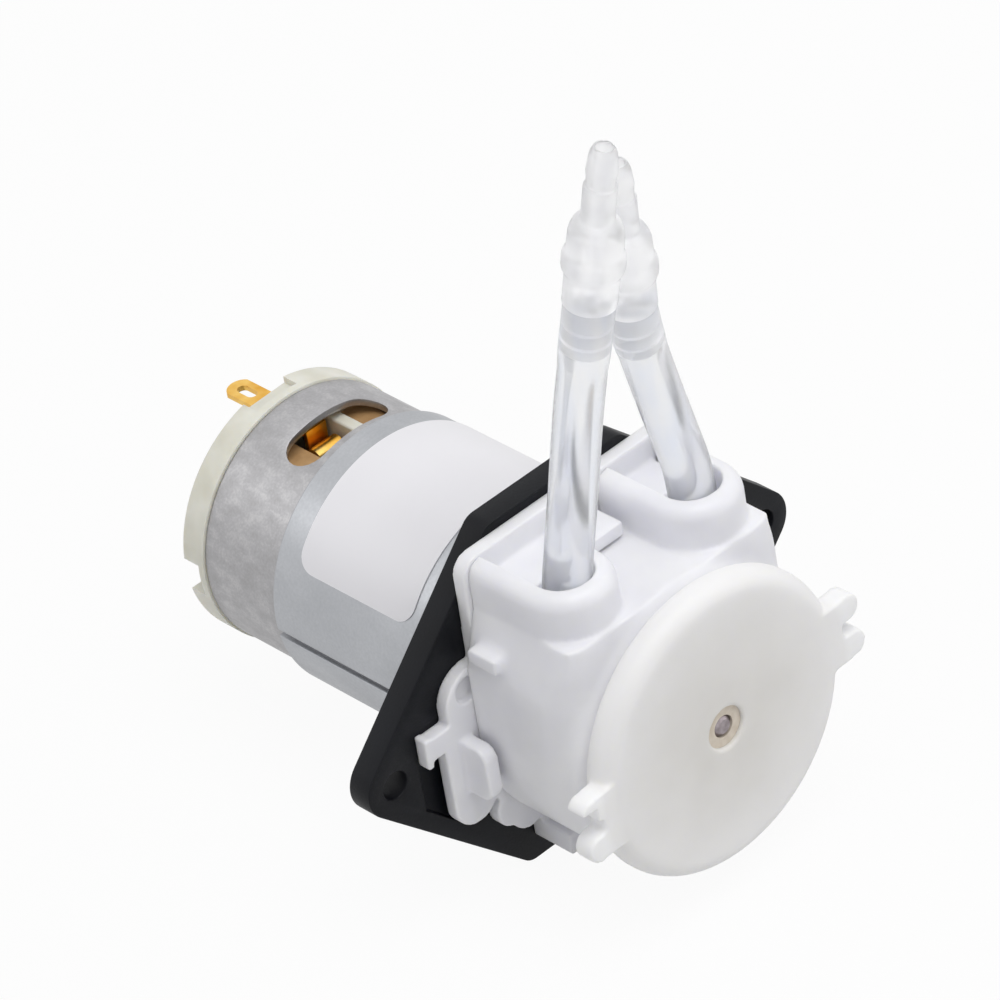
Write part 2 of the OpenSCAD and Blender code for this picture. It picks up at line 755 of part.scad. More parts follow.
// Straight barbed connector, with s counted from the end of the tube
module connector() {
  bore_r = 0.8;
  tip = connector_len;
  color("#e8eaee") rotate_extrude() polygon([
    [bore_r, -5.6], [1.5, -5.6], [1.9, -4.2], [1.6, -4.2], [1.9, -2.6], [1.6, -2.6], [1.6, 0],
    [2.6, 0], [2.6, 3.4], [3, 4.1], [3, 5.4], [2.7, 6], [2.6, 8.2], [2.2, 9.2], [1.6, 9.4],
    [1.6, tip - 4.2], [1.45, tip - 4], [1.5, tip - 2.6], [1.3, tip - 0.6], [1, tip], [bore_r, tip]]);
}

module placed_connector(route, aim) {
  dir = unit(aim);
  translate(route[len(route) - 1]) rotate([0, acos(dir[2]), atan2(dir[1], dir[0])]) connector();
}

mounting_plate();
motor_can();
flux_ring();
rating_label();
end_cap();
magnet(-1);  // magnet_left
magnet(1);  // magnet_right
front_bearing();
rear_bearing();
terminal(1);  // terminal_top
terminal(-1);  // terminal_bottom
brush(1);  // brush_top
brush(-1);  // brush_bottom
brush_arm(1);  // brush_arm_top
brush_arm(-1);  // brush_arm_bottom
motor_screw(-1);  // motor_screw_left
motor_screw(1);  // motor_screw_right
motor_shaft();
armature_core();
winding(1);  // winding_1
winding(2);  // winding_2
winding(3);  // winding_3
commutator();
head_base();
head_housing();
front_cover();
front_bush();
cage_rear();
cage_front();
roller_pin(1);  // roller_pin_1
roller_pin(2);  // roller_pin_2
roller_pin(3);  // roller_pin_3
roller(1);  // roller_1
roller(2);  // roller_2
roller(3);  // roller_3
pump_tube();
tube_leg(-1);  // tube_leg_left
tube_leg(1);  // tube_leg_right
left_tube();
right_tube();
placed_connector(left_route, left_aim);  // left_connector
placed_connector(right_route, right_aim);  // right_connector
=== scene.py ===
import math

import bmesh
import bpy
from mathutils import Matrix, Vector


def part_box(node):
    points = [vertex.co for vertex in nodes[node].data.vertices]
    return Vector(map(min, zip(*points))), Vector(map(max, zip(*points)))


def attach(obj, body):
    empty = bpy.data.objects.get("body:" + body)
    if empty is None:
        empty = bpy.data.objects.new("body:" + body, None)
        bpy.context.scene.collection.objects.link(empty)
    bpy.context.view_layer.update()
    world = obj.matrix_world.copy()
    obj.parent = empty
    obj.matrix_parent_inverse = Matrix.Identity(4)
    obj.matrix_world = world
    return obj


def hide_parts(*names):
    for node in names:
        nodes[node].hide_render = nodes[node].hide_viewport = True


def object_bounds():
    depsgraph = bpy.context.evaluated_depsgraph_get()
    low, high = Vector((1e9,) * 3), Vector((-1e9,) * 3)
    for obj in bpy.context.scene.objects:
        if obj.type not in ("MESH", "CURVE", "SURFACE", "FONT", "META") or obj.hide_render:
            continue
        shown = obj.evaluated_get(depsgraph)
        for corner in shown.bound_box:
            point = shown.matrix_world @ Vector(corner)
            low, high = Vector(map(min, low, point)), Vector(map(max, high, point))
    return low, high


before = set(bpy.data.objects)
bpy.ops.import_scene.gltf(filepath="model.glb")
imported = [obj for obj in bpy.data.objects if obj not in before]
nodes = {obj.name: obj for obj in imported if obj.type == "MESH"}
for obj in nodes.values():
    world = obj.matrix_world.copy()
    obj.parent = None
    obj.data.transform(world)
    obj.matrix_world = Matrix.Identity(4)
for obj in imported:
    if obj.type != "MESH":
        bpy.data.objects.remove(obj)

MM = 0.001
cad_box = [list(corner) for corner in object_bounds()]


# Camera
# A long lens about 0.7 m away, in front of the pump, to its left and above it,
# rolled a little, as the photograph was taken.
camera_place = Vector((-342.39, -430.23, 419.01)) * MM
camera_target = Vector((6.897, 14.57, 6.514)) * MM
camera_roll = math.radians(-9.883)
camera = bpy.data.cameras.new("camera")
camera.sensor_width = 36
camera.lens = 257.66
camera.clip_start = 0.05
camera.clip_end = 20
camera_object = bpy.data.objects.new("camera", camera)
bpy.context.scene.collection.objects.link(camera_object)
forward = (camera_target - camera_place).normalized()
level_right = forward.cross(Vector((0, 0, 1))).normalized()
level_up = level_right.cross(forward)
rolled_right = level_right * math.cos(camera_roll) + level_up * math.sin(camera_roll)
rolled_up = level_up * math.cos(camera_roll) - level_right * math.sin(camera_roll)
camera_turn = Matrix((rolled_right, rolled_up, -forward)).transposed()
camera_object.matrix_world = Matrix.Translation(camera_place) @ camera_turn.to_4x4()
bpy.context.scene.camera = camera_object


# Silicone tubes
# Two clear silicone tubes, 5 mm outside and 3 mm inside, pushed up out of the
# head's ports. They are extruded, limp, and stretch a little over each barb.
tube_r = 2.5
tube_slimmer = 0.14  # the real ones run a little under their nominal size
bore_r = 1.5
barb_len = 5.6
barb_stretch = 0.12
bore_stretch = 0.45
stretch_share = 0.05  # of the tube's length, before the barb
route_steps = 6

# The routes that the source gives its two tubes, with y counted from the ports' axis.
port_y = -12.594
left_points = [Vector((x, y + port_y, z)) * MM for x, y, z in (
    (-8.5, 0, 13), (-8.5, 0, 17), (-7.9, -0.6, 22), (-7, -1.6, 29),
    (-6, -2.7, 37), (-5, -3.8, 44), (-4.1, -4.8, 50))]
right_points = [Vector((x, y + port_y, z)) * MM for x, y, z in (
    (8.5, 0, 13), (8.5, 0, 17), (8.1, -0.2, 22), (6.7, -0.5, 28),
    (5.2, -0.9, 34), (3.9, -1.2, 40), (3.3, -1.5, 44))]


def smooth_route(points, steps):
    """A smooth line through the points, with steps pieces between each two."""
    ends = [points[0] * 2 - points[1], *points, points[-1] * 2 - points[-2]]
    line = []
    for i in range(1, len(ends) - 2):
        a, b, c, d = ends[i - 1:i + 3]
        for k in range(steps):
            t = k / steps
            line.append((b * 2 + (c - a) * t + (a * 2 - b * 5 + c * 4 - d) * t * t
                         + (b * 3 - a - c * 3 + d) * t ** 3) / 2)
    return line + [points[-1]]


def fade(value, none, full):
    """0 at none, 1 at full, and smooth between them."""
    t = min(max((value - none) / (full - none), 0), 1)
    return t * t * (3 - 2 * t)


def add_object(name, mesh):
    obj = bpy.data.objects.new(name, mesh)
    bpy.context.scene.collection.objects.link(obj)
    return obj


def smooth_faces(mesh, sharp_degrees=35):
    mesh.polygons.foreach_set("use_smooth", [True] * len(mesh.polygons))
    mesh.set_sharp_from_angle(angle=math.radians(sharp_degrees))


def mesh_of(name, bm, smooth=True):
    """Turns the faces outward and keeps them as a mesh."""
    bmesh.ops.recalc_face_normals(bm, faces=bm.faces)
    mesh = bpy.data.meshes.new(name)
    bm.to_mesh(mesh)
    bm.free()
    if smooth:
        smooth_faces(mesh)
    return mesh


def stand_for(piece, node):
    """The piece takes a CAD node's place on the base."""
    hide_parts(node)
    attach(piece, "base")


def tube_mesh(name, path, outer, inner, outer_sides=48, inner_sides=20):
    """A tube with an open bore. outer and inner give its radii at each share of its length."""
    bm = bmesh.new()
    last = len(path) - 1

    def skin(radius, sides):
        rings = []
        for i, p in enumerate(path):
            along = (path[min(i + 1, last)] - path[max(i - 1, 0)]).normalized()
            across = (Vector((1, 0, 0)) - along * along.x).normalized()
            other = along.cross(across)
            r = radius(i / last)
            rings.append([bm.verts.new(p + (across * math.cos(a) + other * math.sin(a)) * r)
                          for a in (2 * math.pi * k / sides for k in range(sides))])
        for low, high in zip(rings, rings[1:]):
            for k in range(sides):
                n = (k + 1) % sides
                bm.faces.new((low[k], low[n], high[n], high[k]))
        return rings

    outside = skin(outer, outer_sides)
    inside = skin(inner, inner_sides)
    for end in (0, -1):
        edges = [bm.edges.get((ring[k - 1], ring[k]))
                 for ring in (outside[end], inside[end]) for k in range(len(ring))]
        bmesh.ops.bridge_loops(bm, edges=edges)
    return mesh_of(name, bm)


def silicone_tube(name, node, points):
    line = smooth_route(points, route_steps)
    length = sum((b - a).length for a, b in zip(line, line[1:]))
    barb_start = 1 - barb_len * MM / length

    def stretch(share):
        return fade(share, barb_start - stretch_share, barb_start)

    tube = add_object(name, tube_mesh(
        name, line,
        outer=lambda share: (tube_r - tube_slimmer + barb_stretch * stretch(share)) * MM,
        inner=lambda share: (bore_r + bore_stretch * stretch(share)) * MM))
    stand_for(tube, node)
    return tube, line, length


left_tube, left_line, left_length = silicone_tube("left_silicone_tube", "left_tube", left_points)
right_tube, right_line, right_length = silicone_tube("right_silicone_tube", "right_tube", right_points)


def hex_linear(code):
    """An sRGB hex colour as linear red, green, blue and alpha."""
    values = [int(code[i:i + 2], 16) / 255 for i in (1, 3, 5)]
    return (*(v / 12.92 if v <= 0.04045 else ((v + 0.055) / 1.055) ** 2.4 for v in values), 1.0)


def set_inputs(node, inputs):
    """Sets each input to its value, or links it to an output, or to a node's first output."""
    for key, value in inputs.items():
        if isinstance(value, bpy.types.Node):
            value = value.outputs[0]
        if isinstance(value, bpy.types.NodeSocket):
            node.id_data.links.new(value, node.inputs[key])
        else:
            node.inputs[key].default_value = value


def add_node(owner, kind, inputs=None, stops=(), **settings):
    """Adds a node. A colour ramp's stops are places, each with a hex colour or a plain share."""
    node = owner.node_tree.nodes.new(kind)
    for key, value in settings.items():
        setattr(node, key, value)
    if stops:
        elements = node.color_ramp.elements
        for _ in stops[2:]:
            elements.new(0.5)
        for element, (position, colour) in zip(elements, stops):
            element.position = position
            element.color = hex_linear(colour) if isinstance(colour, str) else (colour, colour, colour, 1)
    set_inputs(node, inputs or {})
    return node


def new_material(name):
    material = bpy.data.materials.new(name)
    material.use_nodes = True
    return material, material.node_tree.nodes["Principled BSDF"]


def grain(material, size_mm, detail=2, stretch=(1, 1, 1)):
    """A pattern of lumps about size_mm across, fixed to the object itself."""
    place = add_node(material, "ShaderNodeTexCoord").outputs["Object"]
    scaled = add_node(material, "ShaderNodeMapping", {"Vector": place, "Scale": stretch})
    return add_node(material, "ShaderNodeTexNoise",
                    {"Vector": scaled, "Scale": 1 / (size_mm * MM), "Detail": detail})


def make_of(material, *pieces, shadow=True):
    for piece in pieces:
        piece.data.materials.clear()
        piece.data.materials.append(material)
        piece.visible_shadow = shadow


# Platinum-cured silicone, extruded: clear with a faint haze, so that it shows bright
# walls. Streaks run along it: bumps that bend the light, and a faint bluish painted
# reflection in its colour. The IOR is under silicone's 1.41, and it casts no shadow,
# because it would darken what is in and behind it too much.
silicone, surface = new_material("extruded clear silicone")
marks_and_painted_streaks = grain(silicone, 1.2, detail=3, stretch=(1, 1, 0.12))
set_inputs(surface, {
    "IOR": 1.33, "Transmission Weight": 0.9, "Roughness": 0.2,
    # The streaks' bluish tint in the base colour is painted reflection; in the normal they are bumps.
    "Base Color": add_node(silicone, "ShaderNodeValToRGB", {"Fac": marks_and_painted_streaks},
                           stops=((0.35, "#f8faff"), (0.6, "#ffffff"))),
    "Normal": add_node(silicone, "ShaderNodeBump",
                       {"Height": marks_and_painted_streaks, "Strength": 0.12, "Distance": 0.1 * MM})})
make_of(silicone, left_tube, right_tube, nodes["pump_tube"],
        nodes["tube_leg_left"], nodes["tube_leg_right"], shadow=False)


# Barbed connectors
# Two straight connectors moulded in clear polypropylene: a ribbed stem pushed into
# the tube, a stepped collar, and a tapered barb with a step above it.
connector_tip = 17.4
connector_bore_r = 0.8


def turned_mesh(name, profile, steps, start=0, end=360):
    """Turns a closed profile of (radius, y) in mm about the Y axis, with angles in
    degrees from the top towards +X."""
    whole = end - start == 360
    bm = bmesh.new()
    rings = []
    for i in range(steps if whole else steps + 1):
        a = math.radians(start + (end - start) * i / steps)
        rings.append([bm.verts.new((r * math.sin(a) * MM, y * MM, r * math.cos(a) * MM))
                      for r, y in profile])
    for i in range(steps):
        here, there = rings[i], rings[(i + 1) % len(rings)]
        for k in range(len(profile)):
            n = (k + 1) % len(profile)
            bm.faces.new((here[k], here[n], there[n], there[k]))
    if not whole:
        bm.faces.new(rings[0])
        bm.faces.new(rings[-1])
    return mesh_of(name, bm)


def rounded(corners, steps=4, most_of_edge=0.49):
    """A closed profile from corners of (radius, y, rounding), all in mm. No rounding takes
    more of an edge than the share most_of_edge, so that two never meet."""
    places = [Vector(corner[:2]) for corner in corners]
    profile = []
    for i, (p, corner) in enumerate(zip(places, corners)):
        rounding = corner[2]
        if rounding == 0:
            profile.append(tuple(p))
            continue
        back = places[i - 1] - p
        ahead = places[(i + 1) % len(places)] - p
        reach = min(rounding, back.length * most_of_edge, ahead.length * most_of_edge)
        a = p + back.normalized() * reach
        b = p + ahead.normalized() * reach
        for k in range(steps + 1):
            t = k / steps
            profile.append(tuple(a * (1 - t) ** 2 + p * (2 * t * (1 - t)) + b * t * t))
    return profile


connector_profile = rounded([
    (connector_bore_r, -5.5, 0), (1.4, -5.5, 0.1),
    (1.85, -4.3, 0.1), (1.5, -4.1, 0.1), (1.85, -2.7, 0.1), (1.5, -2.5, 0.1), (1.5, 0, 0.1),
    (2.6, 0.02, 0.15), (2.6, 3.4, 0.3), (3, 4.1, 0.3), (3, 5.4, 0.3), (2.7, 6, 0.3),
    (2.6, 8.2, 0.3), (2.2, 9.2, 0.3), (1.6, 9.5, 0.2),
    (1.6, connector_tip - 4.2, 0.2), (1.3, connector_tip - 4.1, 0.15),
    (1.5, connector_tip - 2.6, 0.15), (1.3, connector_tip - 0.6, 0.3),
    (1.0, connector_tip, 0.2), (connector_bore_r, connector_tip, 0.1)])


def barbed_connector(name, node, tube_end, aim):
    piece = add_object(name, turned_mesh(name, connector_profile, steps=64))
    turn = Vector((0, 1, 0)).rotation_difference(Vector(aim).normalized()).to_matrix()
    piece.data.transform(Matrix.Translation(tube_end) @ turn.to_4x4())
    stand_for(piece, node)
    return piece


left_connector = barbed_connector(
    "left_barbed_connector", "left_connector", left_points[-1], aim=(2, -2.9, 16.6))
right_connector = barbed_connector(
    "right_barbed_connector", "right_connector", right_points[-1], aim=(-1, -2.3, 17))

# Clear polypropylene, injection-moulded: milky, softly glossy, brighter where it is
# thick. The IOR is under polypropylene's 1.49, and it casts no shadow either.
clear_pp, surface = new_material("moulded clear polypropylene")
set_inputs(surface, {
    "IOR": 1.2, "Transmission Weight": 0.75, "Roughness": 0.3,
    "Base Color": add_node(clear_pp, "ShaderNodeValToRGB", {"Fac": grain(clear_pp, 2.5)},
                           stops=((0.3, "#f9f9fb"), (0.7, "#ffffff")))})
make_of(clear_pp, left_connector, right_connector, shadow=False)


# Mounting plate
# A 2.8 mm plate moulded in black ABS, diamond-shaped, with its two screw holes,
# a shallow pocket on each side of the head and a round seat for the motor behind.
weld = 0.001 * MM
flat_enough = math.radians(0.6)


def bevel_edges(piece, width_mm, segments, sharper_than):
    """Rounds the edges that are sharper than an angle in degrees."""
    bevel = piece.modifiers.new("edges", "BEVEL")
    bevel.width = width_mm * MM
    bevel.segments = segments
    bevel.limit_method = "ANGLE"
    bevel.angle_limit = math.radians(sharper_than)


def settle(piece):
    """Makes what the piece's modifiers show its own mesh."""
    evaluated = piece.evaluated_get(bpy.context.evaluated_depsgraph_get())
    mesh = bpy.data.meshes.new_from_object(evaluated)
    piece.modifiers.clear()
    piece.data = mesh


def edged_copy(name, node, width_mm):
    """A copy of a CAD node with every sharp edge rounded off."""
    piece = add_object(name, nodes[node].data.copy())
    bm = bmesh.new()
    bm.from_mesh(piece.data)
    bmesh.ops.remove_doubles(bm, verts=bm.verts, dist=weld)
    bmesh.ops.dissolve_limit(bm, angle_limit=flat_enough, verts=bm.verts, edges=bm.edges)
    bm.to_mesh(piece.data)
    bm.free()
    bevel_edges(piece, width_mm, segments=3, sharper_than=30)
    settle(piece)
    smooth_faces(piece.data)
    stand_for(piece, node)
    return piece


plate = edged_copy("black_mounting_plate", "mounting_plate", 0.3)

# ABS from a lightly spark-eroded mould: satin, with a fine grain that greys the
# highlights. The grain is drawn 0.25 mm wide, coarser than it is, so that it shows.
black_abs, surface = new_material("moulded black ABS")
erosion = grain(black_abs, 0.25, detail=3)
set_inputs(surface, {
    "IOR": 1.54, "Specular IOR Level": 0.18,
    "Base Color": add_node(black_abs, "ShaderNodeValToRGB", {"Fac": grain(black_abs, 9)},
                           stops=((0.3, "#05060a"), (0.7, "#0c0e14"))),
    "Roughness": add_node(black_abs, "ShaderNodeMapRange",
                          {"Value": erosion, "To Min": 0.42, "To Max": 0.56}),
    "Normal": add_node(black_abs, "ShaderNodeBump",
                       {"Height": erosion, "Strength": 0.3, "Distance": 0.05 * MM})})
make_of(black_abs, plate)


# Motor can
# A deep-drawn steel can, zinc-plated, with a boss for the front bearing, a round
# front edge, an open rear rim and a punched slot over each brush.
def box_mm(node):
    """A CAD node's lowest and highest corner at rest, in mm."""
    return [[round(v / MM, 3) for v in corner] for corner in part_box(node)]


can_low, can_high = box_mm("motor_can")
can_r = can_high[0]
can_end = can_high[1]
can_wall = 0.8
boss_len = 1.8
boss_r = 5
boss_hole_r = 3
can_front = can_low[1] + boss_len
slot_half = 6.05
slot_width = 4.6
slot_middle = can_end - 7.2
slot_steps = 12
punch_from = 8
punch_len = 10


def cut_away(piece, cutter):
    cut = piece.modifiers.new("cut", "BOOLEAN")
    cut.operation = "DIFFERENCE"
    cut.object = cutter
    cut.solver = "EXACT"


def slot_punches():
    """Two bars with round ends, one over each brush."""
    end_r = slot_width / 2
    outline = []
    for side in (1, -1):
        for k in range(slot_steps + 1):
            a = math.pi * (k / slot_steps - 0.5)
            outline.append((side * (slot_half - end_r + end_r * math.cos(a)),
                            slot_middle + side * end_r * math.sin(a)))
    bm = bmesh.new()
    for up in (1, -1):
        face = bm.faces.new([bm.verts.new((x * MM, y * MM, up * punch_from * MM)) for x, y in outline])
        pushed = bmesh.ops.extrude_face_region(bm, geom=[face])
        moved = [v for v in pushed["geom"] if isinstance(v, bmesh.types.BMVert)]
        bmesh.ops.translate(bm, verts=moved, vec=(0, 0, up * punch_len * MM))
    return add_object("slot_punches", mesh_of("slot_punches", bm, smooth=False))


can_profile = rounded([
    (boss_hole_r, can_low[1], 0.1), (boss_r, can_low[1], 0.4), (boss_r, can_front, 0.3),
    (can_r, can_front, 1.1), (can_r, can_end, 0.35), (can_r - can_wall, can_end, 0.1),
    (can_r - can_wall, can_front + can_wall, 0.8), (boss_hole_r, can_front + can_wall, 0.1)])
can = add_object("drawn_motor_can", turned_mesh("drawn_motor_can", can_profile, steps=180))
punches = slot_punches()
cut_away(can, punches)
bevel_edges(can, 0.12, segments=2, sharper_than=50)
settle(can)
bpy.data.objects.remove(punches)
smooth_faces(can.data, sharp_degrees=40)
stand_for(can, "motor_can")


def zinc_finish(name, colours, patch_mm, crystal_mm, roughness, bump_strength, swing=0.06):
    """A dull plated metal, mottled in patches with finer crystals between them. The
    roughness swings both ways, and the lighter spots are smoother."""
    material, surface = new_material(name)
    patches = grain(material, patch_mm, detail=3, stretch=(1, 0.6, 1))
    crystals = grain(material, crystal_mm)
    mottle = add_node(material, "ShaderNodeMix", {"Factor": 0.4, "A": patches, "B": crystals},
                      data_type="FLOAT")
    set_inputs(surface, {
        "Metallic": 1.0,
        "Base Color": add_node(material, "ShaderNodeValToRGB", {"Fac": mottle},
                               stops=tuple(zip((0.35, 0.5, 0.65), colours))),
        "Roughness": add_node(material, "ShaderNodeMapRange", {
            "Value": mottle, "From Min": 0.3, "From Max": 0.7,
            "To Min": roughness + swing, "To Max": roughness - swing}),
        "Normal": add_node(material, "ShaderNodeBump", {
            "Height": mottle, "Strength": bump_strength, "Distance": 0.05 * MM})})
    return material


# Drawing steel, electro-galvanised: grey, with cloudy patches a millimetre or two wide.
# The zinc's crystals are drawn 0.25 mm wide, coarser than they are, so that they show.
zinc_steel = zinc_finish("zinc-plated drawn steel", ("#a5a4a5", "#acabad", "#b9b8b9"),
                         patch_mm=1.3, crystal_mm=0.25, roughness=0.43, bump_strength=0.14)
make_of(zinc_steel, can)


# Flux ring
# A strip of plated steel rolled round the can and left with an open seam. It
# carries the magnets' field, and is held by its own spring.
ring_low, ring_high = box_mm("flux_ring")
ring_r = ring_high[0]
ring_gap = 0.02
seam_start, seam_end = 262.2, 265.6
ring_profile = rounded([
    (can_r + ring_gap, ring_low[1], 0.05), (ring_r, ring_low[1], 0.2),
    (ring_r, ring_high[1], 0.2), (can_r + ring_gap, ring_high[1], 0.05)])
flux_ring = add_object("rolled_flux_ring", turned_mesh(
    "rolled_flux_ring", ring_profile, steps=180, start=seam_end - 360, end=seam_start))
bevel_edges(flux_ring, 0.22, segments=2, sharper_than=50)
settle(flux_ring)
smooth_faces(flux_ring.data, sharp_degrees=40)
stand_for(flux_ring, "flux_ring")

# Strip steel, rolled before it is plated: smoother and a little bluer than the can.
zinc_strip = zinc_finish("zinc-plated rolled strip", ("#aeb0b4", "#b3b5b9", "#b9bbbf"),
                         patch_mm=5, crystal_mm=0.3, roughness=0.42, bump_strength=0.05)
make_of(zinc_strip, flux_ring)


# Rating label
# A white polyester film with round corners, stuck more than a third of the way
# round the ring. It is blank.
label_low, label_high = box_mm("rating_label")
label_y = label_low[1]
label_w = label_high[1] - label_y
label_start, label_end = -62.0, 88.0
label_corner = 2.0
label_r = ring_r + 0.01
label_skin = 0.11


def label_mesh(name, columns=120, corner_rows=8):
    """A grid bent round the ring, its rows drawn in at the corners, with a skin's thickness."""
    corner_heights = [label_corner * (1 - math.cos(math.pi / 2 * k / corner_rows))
                      for k in range(corner_rows + 1)]
    heights = corner_heights + [label_w - h for h in reversed(corner_heights)]
    bm = bmesh.new()
    layers = []
    for radius in (label_r, label_r + label_skin):
        grid = []
        for h in heights:
            under = label_corner - min(h, label_w - h, label_corner)
            inset = label_corner - math.sqrt(label_corner ** 2 - under ** 2)
            row_start = math.radians(label_start) + inset / label_r
            row_end = math.radians(label_end) - inset / label_r
            turns = [row_start + (row_end - row_start) * c / columns for c in range(columns + 1)]
            grid.append([bm.verts.new((radius * math.sin(a) * MM, (label_y + h) * MM,
                                       radius * math.cos(a) * MM)) for a in turns])
        layers.append(grid)
    for grid in layers:
        for low, high in zip(grid, grid[1:]):
            for c in range(columns):
                bm.faces.new((low[c], low[c + 1], high[c + 1], high[c]))
    inner, outer = [grid[0][:-1] + [row[-1] for row in grid[:-1]]
                    + grid[-1][:0:-1] + [row[0] for row in grid[:0:-1]] for grid in layers]
    for k in range(len(inner)):
        bm.faces.new((inner[k - 1], inner[k], outer[k], outer[k - 1]))
    return mesh_of(name, bm)


label = add_object("blank_label", label_mesh("blank_label"))
stand_for(label, "rating_label")

# Polyester film with a white top coat: even, with a soft gloss and a slight ripple.
label_film, surface = new_material("white polyester film")
ripple = grain(label_film, 12, detail=0)
set_inputs(surface, {
    "IOR": 1.57, "Coat Weight": 0.15, "Coat Roughness": 0.2,
    "Base Color": add_node(label_film, "ShaderNodeValToRGB", {"Fac": ripple},
                           stops=((0.3, "#e8e7eb"), (0.7, "#eeedf1"))),
    "Roughness": add_node(label_film, "ShaderNodeMapRange",
                          {"Value": ripple, "To Min": 0.32, "To Max": 0.42}),
    "Normal": add_node(label_film, "ShaderNodeBump",
                       {"Height": ripple, "Strength": 0.05, "Distance": 0.1 * MM})})
make_of(label_film, label)


# End cap
# An ivory nylon moulding pressed into the can's rear, with the rear bearing's
# boss, flats behind the terminals and mould notches in its rim.
end_cap = edged_copy("nylon_end_cap", "end_cap", 0.15)

# Unfilled polyamide 66, moulded: a little yellowed, cloudy, and translucent.
nylon, surface = new_material("moulded ivory nylon")
cloud = grain(nylon, 3.5)
set_inputs(surface, {
    "IOR": 1.53, "Roughness": 0.42,
    "Subsurface Weight": 0.35, "Subsurface Radius": (1.0, 0.85, 0.6), "Subsurface Scale": 1.0 * MM,
    "Base Color": add_node(nylon, "ShaderNodeValToRGB", {"Fac": cloud},
                           stops=((0.3, "#dbd9cb"), (0.7, "#e9e8de"))),
    "Normal": add_node(nylon, "ShaderNodeBump",
                       {"Height": cloud, "Strength": 0.1, "Distance": 0.1 * MM})})
make_of(nylon, end_cap)


# Terminals and brush gear
# Stamped brass: a tab with an oval eye on each side, which carries on inside as a
# bent arm that presses a carbon brush on the commutator, between blocks that stand
# on the cap's floor.
blocks = (  # name, left, right and top
    ("brush_block", -6.6, -2.3, 10.9),
    ("brush_rest", 3.2, 6.6, 10.9),
    ("brush_stop", 1.8, 3.2, 11.9))
block_start = can_end - 10
block_end = can_end + 1
block_foot_z = 6.5
block_edge = 0.25


def plain_finish(name, low, high, grain_mm, roughness, metallic=0, bump_strength=0.15):
    """A finish that varies gently between two colours, for the small pieces."""
    material, surface = new_material(name)
    pattern = grain(material, grain_mm)
    set_inputs(surface, {
        "Metallic": metallic, "Roughness": roughness,
        "Base Color": add_node(material, "ShaderNodeValToRGB", {"Fac": pattern},
                               stops=((0.35, low), (0.65, high))),
        "Normal": add_node(material, "ShaderNodeBump",
                           {"Height": pattern, "Strength": bump_strength, "Distance": 0.05 * MM})})
    return material


def block_mesh(name, low, high, edge_mm=0):
    """A block between two corners in mm, with its edges rounded by edge_mm."""
    bm = bmesh.new()
    for v in bmesh.ops.create_cube(bm, size=1)["verts"]:
        v.co = Vector([(high[i] if v.co[i] > 0 else low[i]) * MM for i in range(3)])
    if edge_mm:
        bmesh.ops.bevel(bm, geom=bm.edges[:], offset=edge_mm * MM, segments=3, profile=0.5,
                        affect="EDGES")
    return mesh_of(name, bm, smooth=False)


# Brass sheet, stamped: warm yellow with a clean sheen. Carbon, pressed: matt black grit.
# Phenolic, moulded: tan and dull, with a coarse filler that shows as cloud.
brass = plain_finish("stamped brass", "#e0a63e", "#f4cd75", grain_mm=2.5, metallic=1,
                     roughness=0.3, bump_strength=0.05)
carbon = plain_finish("pressed carbon", "#2b2b2d", "#3d3d40", grain_mm=0.3, roughness=0.6)
phenolic = plain_finish("moulded tan phenolic", "#b08a5e", "#c49d6e", grain_mm=1.5, roughness=0.5)
for end in ("top", "bottom"):
    make_of(brass, nodes["terminal_" + end], nodes["brush_arm_" + end])
    make_of(carbon, nodes["brush_" + end])
for kind, block_left, block_right, block_top_z in blocks:
    for end, half_turns in (("top", 0), ("bottom", 1)):
        name = kind + "_" + end
        mesh = block_mesh(name, (block_left, block_start, block_foot_z),
                          (block_right, block_end, block_top_z), block_edge)
        mesh.transform(Matrix.Rotation(math.pi * half_turns, 4, "Y"))
        block = add_object(name, mesh)
        make_of(nylon if kind == "brush_stop" else phenolic, block)
        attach(block, "base")


# Rotor, magnets, bearings and screws
# A ground steel shaft with a stack of laminations, enamelled copper coils and a
# copper commutator turns between two ferrite arcs, in bearings of sintered bronze.
# Two plated screws hold the motor to the plate.

# Bare metals and ferrite in their own colours: dull where they are pressed or stamped,
# brighter where they are ground or plated, with grain as wide as their grit or marks.
for material, names in (
        (plain_finish("ground shaft steel", "#8f8689", "#a79ea1", grain_mm=0.6, metallic=1, roughness=0.35),
         ("motor_shaft", "roller_pin_1", "roller_pin_2", "roller_pin_3")),
        (plain_finish("stamped laminations", "#5c5e62", "#7a7c80", grain_mm=0.5, metallic=1, roughness=0.5),
         ("armature_core",)),
        (plain_finish("enamelled copper", "#9a4a20", "#c46a34", grain_mm=0.4, metallic=1, roughness=0.3),
         ("winding_1", "winding_2", "winding_3", "commutator")),
        (plain_finish("sintered ferrite", "#2f2f33", "#434348", grain_mm=0.5, roughness=0.6),
         ("magnet_left", "magnet_right")),
        (plain_finish("sintered bronze", "#8f6a36", "#b58d52", grain_mm=0.3, metallic=1, roughness=0.5),
         ("front_bearing", "rear_bearing")),
        (plain_finish("plated screw steel", "#8b8d90", "#a7a9ac", grain_mm=0.8, metallic=1, roughness=0.35),
         ("motor_screw_left", "motor_screw_right"))):
    make_of(material, *(nodes[name] for name in names))


# Head mouldings
# The flange of the pump head, with its ears, hooks, lobes, guard tabs and foot and
# the two fingers behind the tubes, the housing with its two ports, and the round
# cover with its two ears. All are moulded in white acetal and clip together.
soften_factor = 0.5
melt_rounds = 90
kept_share = 0.5  # of the faces

# Two bars on the foot, under the housing.
foot_x = 8.3
foot_half = 1.3
foot_bars = [((side * foot_x - foot_half, -8.2, -16.3), (side * foot_x + foot_half, -4.4, -13.9))
             for side in (-1, 1)]

# What widens the notch between the lobes of the cover's left ear.
ear_notch = ((-21.5, -30, -0.7), (-17, -10, 1.4))
